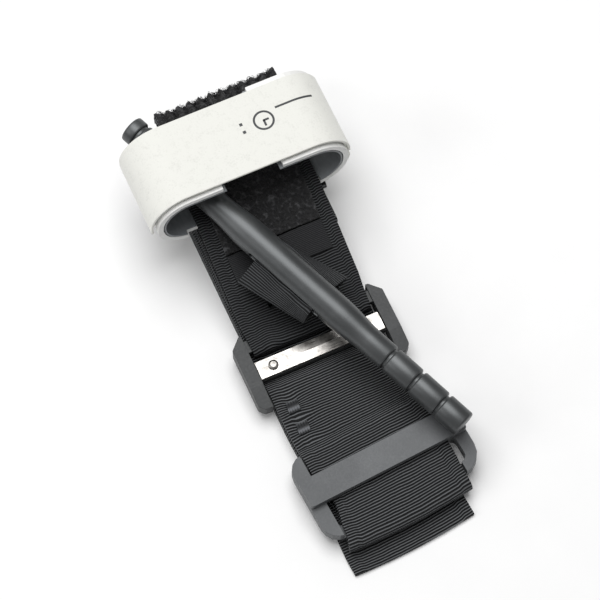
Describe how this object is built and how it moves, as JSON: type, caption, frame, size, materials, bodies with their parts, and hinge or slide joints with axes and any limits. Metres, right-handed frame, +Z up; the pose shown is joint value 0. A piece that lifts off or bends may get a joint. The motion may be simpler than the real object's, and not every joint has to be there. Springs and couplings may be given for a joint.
{
  "type": "windlass tourniquet",
  "caption": "Folded limb tourniquet: black webbing band, windlass rod held in a C-shaped clip under a white hook-and-loop strap, and two buckles.",
  "frame": {"origin": "middle of the folded object's footprint, on the surface it lies on", "axes": "+X across the band, +Y along the band towards the windlass clip, +Z up"},
  "size_m": [0.062, 0.1466, 0.0412],
  "materials": {
    "black_nylon_webbing": "ribbed grosgrain webbing, matte with a faint thread sheen",
    "black_nylon_ribbon": "finely ribbed ribbon, slight sheen",
    "black_polyester_thread": "close zigzag stitching, slight gloss",
    "black_hook_and_loop": "fuzzy loop pile",
    "white_hook_and_loop_tape": "fine white woven tape, matte",
    "white_nylon_plastic": "moulded, satin",
    "grey_plastic": "smooth satin",
    "black_acetal_plastic": "moulded with a fine grain",
    "polished_steel": "pressed and polished",
    "black_anodised_aluminium": "turned and anodised, satin"
  },
  "bodies": {
    "folded_band": {"band_stack": "black_nylon_webbing", "band_bottom": "black_nylon_webbing", "bartack_upper": "black_polyester_thread", "buckle_one_frame": "black_acetal_plastic", "buckle_one_steel_bar": "polished_steel", "buckle_one_rivet_left": "polished_steel", "buckle_one_rivet_right": "polished_steel", "clip_hook_pad": "white_hook_and_loop_tape", "clip_liner": "grey_plastic", "clip_rivet_left": "polished_steel", "clip_rivet_right": "polished_steel", "cover_patch": "black_nylon_webbing", "hook_patch": "black_hook_and_loop", "ribbon_buckle_side": "black_nylon_ribbon", "ribbon_clip_side": "black_nylon_ribbon", "sleeve_bottom": "black_nylon_webbing", "sleeve_end_loop": "black_nylon_webbing", "sleeve_top": "black_nylon_webbing", "stiffener_plate": "grey_plastic", "strap_anchor": "white_hook_and_loop_tape", "windlass_clip": "white_nylon_plastic"},
    "windlass": {"windlass_rod": "black_anodised_aluminium", "ribbon_loop": "black_nylon_ribbon"},
    "strap": {"securing_strap": "white_hook_and_loop_tape"},
    "lower_end": {"band_lower": "black_nylon_webbing", "band_end": "black_nylon_webbing", "bartack_lower": "black_polyester_thread"},
    "buckle_two": {"buckle_two_frame": "black_acetal_plastic"}
  },
  "joints": [
    {"name": "windlass_swing", "type": "hinge", "parent": "folded_band", "child": "windlass", "pos_m": [0.00144, 0.00779, 0.0235], "axis": [0, 0, 1], "range_deg": [-42, 0.6]},
    {"name": "strap_peel", "type": "hinge", "parent": "folded_band", "child": "strap", "pos_m": [0.03054, 0.04609, 0.0284], "axis": [0, 1, 0], "range_deg": [0, 135]},
    {"name": "lower_end_flex", "type": "hinge", "parent": "folded_band", "child": "lower_end", "pos_m": [0.00164, -0.02581, 0.00065], "axis": [1, 0, 0], "range_deg": [-2, 40]},
    {"name": "buckle_two_tilt", "type": "hinge", "parent": "lower_end", "child": "buckle_two", "pos_m": [0.00287, -0.04747, 0.007], "axis": [0.9976, 0.0698, 0], "range_deg": [-1, 1]}
  ]
}
